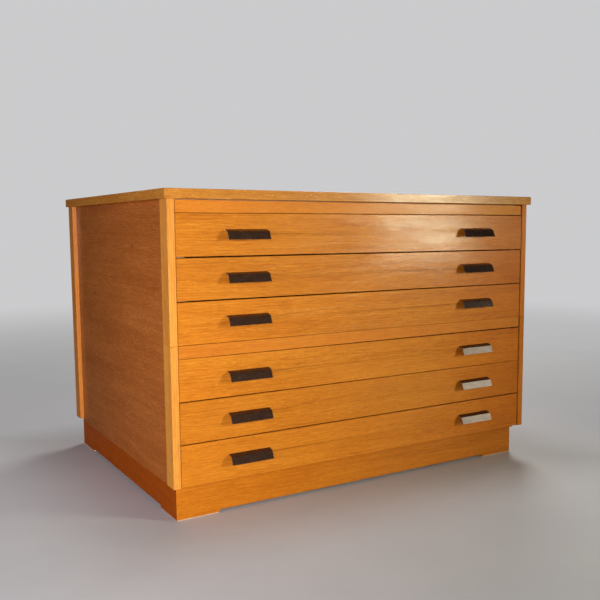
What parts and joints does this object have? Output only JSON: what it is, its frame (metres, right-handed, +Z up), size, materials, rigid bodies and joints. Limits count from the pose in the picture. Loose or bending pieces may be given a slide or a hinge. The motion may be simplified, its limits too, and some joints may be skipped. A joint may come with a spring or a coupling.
{
  "type": "flat file cabinet",
  "caption": "Oak cabinet for flat drawings: two stacked drawer units on a plinth under one top board, wide shallow drawers that slide out on wooden runners, bent metal lip pulls.",
  "frame": {"origin": "on the floor, at the centre of the closed cabinet's bounding box", "axes": "+Z up, -Y out of the front (the way the drawers open), +X to the right when facing the cabinet's back from the front"},
  "size_m": [1.3174, 1.0334, 0.9078],
  "materials": {
    "oak_fronts": "honey oak veneer, horizontal grain with ray flecks, satin lacquer",
    "oak_posts": "solid oak, vertical grain, lighter, satin lacquer",
    "oak_lipping": "solid oak edge, satin lacquer",
    "oak_top": "oak veneer, satin lacquer, light wear",
    "oak_sides": "oak veneer, red-brown, satin lacquer",
    "oak_plinth": "oak, satin lacquer",
    "inner_wood": "plain unfinished hardwood",
    "inner_ply": "plain birch-faced plywood",
    "back_ply": "stained plywood, matt",
    "pull_metal": "brown patinated bronze, brushed, satin",
    "screw_steel": "zinc plated",
    "glide": "pale nylon"
  },
  "bodies": {
    "cabinet": {"top_board": "oak_top", "top_lipping": "oak_lipping", "upper_side_left": "oak_sides", "upper_side_right": "oak_sides", "lower_side_left": "oak_sides", "lower_side_right": "oak_sides", "upper_front_post_left": "oak_posts", "upper_front_post_right": "oak_posts", "lower_front_post_left": "oak_posts", "lower_front_post_right": "oak_posts", "rear_posts": "oak_posts", "upper_front_rail": "oak_fronts", "lower_front_rail": "oak_fronts", "cross_stretchers": "inner_wood", "upper_back_panel": "back_ply", "lower_back_panel": "back_ply", "upper_floor_panel": "inner_ply", "lower_floor_panel": "inner_ply", "drawer_runners": "inner_wood", "stacking_dowels": "inner_wood", "plinth_front": "oak_plinth", "plinth_back": "oak_plinth", "plinth_sides": "oak_plinth", "foot_glides": "glide"},
    "drawer_1": {"drawer_1_front": "oak_fronts", "drawer_1_sides": "inner_wood", "drawer_1_back": "inner_wood", "drawer_1_bottom": "inner_ply", "drawer_1_pulls": "pull_metal", "drawer_1_screws": "screw_steel"},
    "drawer_2": {"drawer_2_front": "oak_fronts", "drawer_2_sides": "inner_wood", "drawer_2_back": "inner_wood", "drawer_2_bottom": "inner_ply", "drawer_2_pulls": "pull_metal", "drawer_2_screws": "screw_steel"},
    "drawer_3": {"drawer_3_front": "oak_fronts", "drawer_3_sides": "inner_wood", "drawer_3_back": "inner_wood", "drawer_3_bottom": "inner_ply", "drawer_3_pulls": "pull_metal", "drawer_3_screws": "screw_steel"},
    "drawer_4": {"drawer_4_front": "oak_fronts", "drawer_4_sides": "inner_wood", "drawer_4_back": "inner_wood", "drawer_4_bottom": "inner_ply", "drawer_4_pulls": "pull_metal", "drawer_4_screws": "screw_steel"},
    "drawer_5": {"drawer_5_front": "oak_fronts", "drawer_5_sides": "inner_wood", "drawer_5_back": "inner_wood", "drawer_5_bottom": "inner_ply", "drawer_5_pulls": "pull_metal", "drawer_5_screws": "screw_steel"},
    "drawer_6": {"drawer_6_front": "oak_fronts", "drawer_6_sides": "inner_wood", "drawer_6_back": "inner_wood", "drawer_6_bottom": "inner_ply", "drawer_6_pulls": "pull_metal", "drawer_6_screws": "screw_steel"}
  },
  "joints": [
    {"name": "drawer_1_slide", "type": "slide", "parent": "cabinet", "child": "drawer_1", "axis": [0, -1, 0], "range_m": [0, 0.7]},
    {"name": "drawer_2_slide", "type": "slide", "parent": "cabinet", "child": "drawer_2", "axis": [0, -1, 0], "range_m": [0, 0.7]},
    {"name": "drawer_3_slide", "type": "slide", "parent": "cabinet", "child": "drawer_3", "axis": [0, -1, 0], "range_m": [0, 0.7]},
    {"name": "drawer_4_slide", "type": "slide", "parent": "cabinet", "child": "drawer_4", "axis": [0, -1, 0], "range_m": [0, 0.7]},
    {"name": "drawer_5_slide", "type": "slide", "parent": "cabinet", "child": "drawer_5", "axis": [0, -1, 0], "range_m": [0, 0.7]},
    {"name": "drawer_6_slide", "type": "slide", "parent": "cabinet", "child": "drawer_6", "axis": [0, -1, 0], "range_m": [0, 0.7]}
  ]
}
